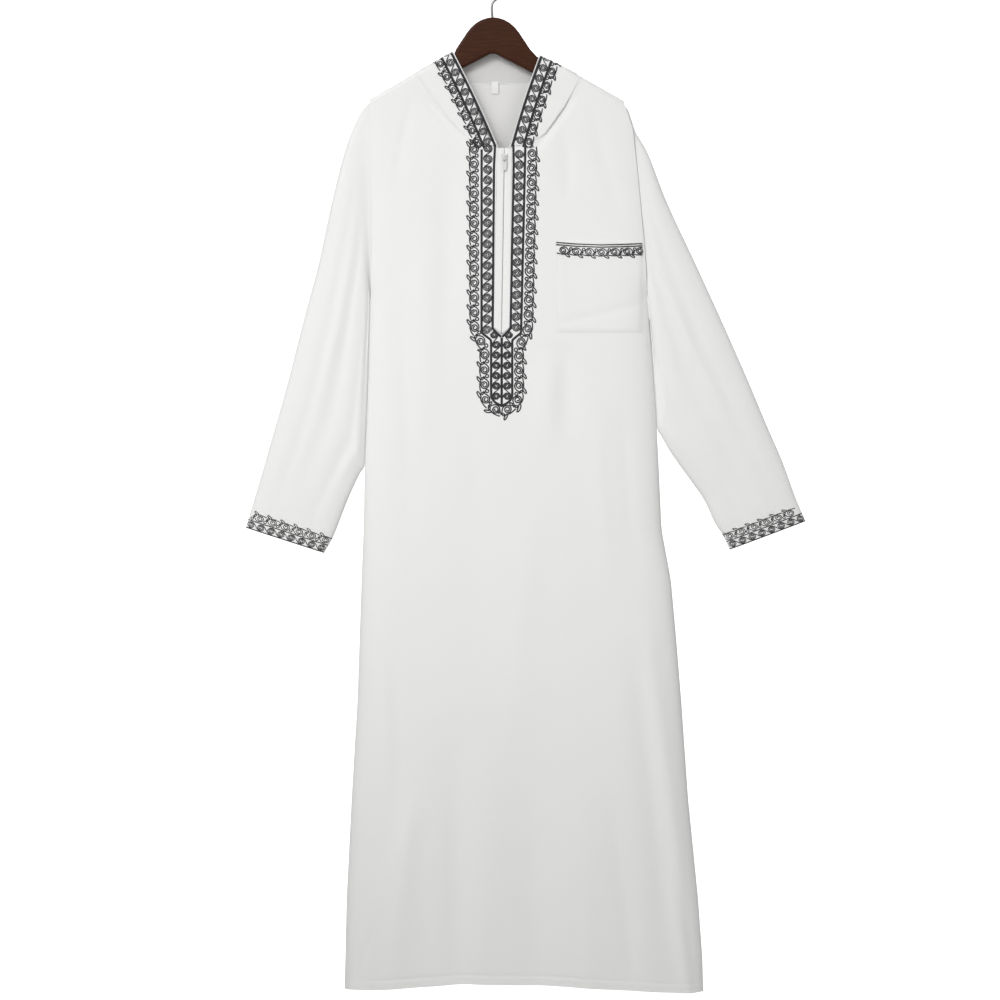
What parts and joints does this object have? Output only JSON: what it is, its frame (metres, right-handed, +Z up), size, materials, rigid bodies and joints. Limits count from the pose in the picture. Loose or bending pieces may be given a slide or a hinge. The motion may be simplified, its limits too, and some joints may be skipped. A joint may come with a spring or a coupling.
{
  "type": "thobe robe on hanger",
  "caption": "White hooded thobe robe with a half zip, chest pocket and dark thread embroidery, hung on a brown wooden hanger.",
  "frame": {"origin": "inside top of the hanger's hook, where a rail holds it", "axes": "+Z up along the hanging garment, -Y out of the garment's front, +X towards the wearer's left"},
  "size_m": [0.8435, 0.0758, 1.5353],
  "materials": {
    "cloth": "matte",
    "thread": "satin",
    "wood": "satin",
    "steel": "polished",
    "zip_white": "satin"
  },
  "bodies": {
    "garment": {"front": "cloth", "back": "cloth", "sleeve_right": "cloth", "sleeve_left": "cloth", "hood_right": "cloth", "hood_left": "cloth", "pocket": "cloth", "zip_tape_right": "cloth", "zip_tape_left": "cloth", "zip_slider": "zip_white", "neck_label": "cloth", "hanger": "wood", "hanger_hook": "steel"},
    "zip_pull": {"zip_pull": "zip_white"}
  },
  "joints": [
    {"name": "pull_swing", "type": "hinge", "parent": "garment", "child": "zip_pull", "pos_m": [0.0172, -0.018, -0.279], "axis": [-1, 0, 0], "range_deg": [0, 160]}
  ]
}
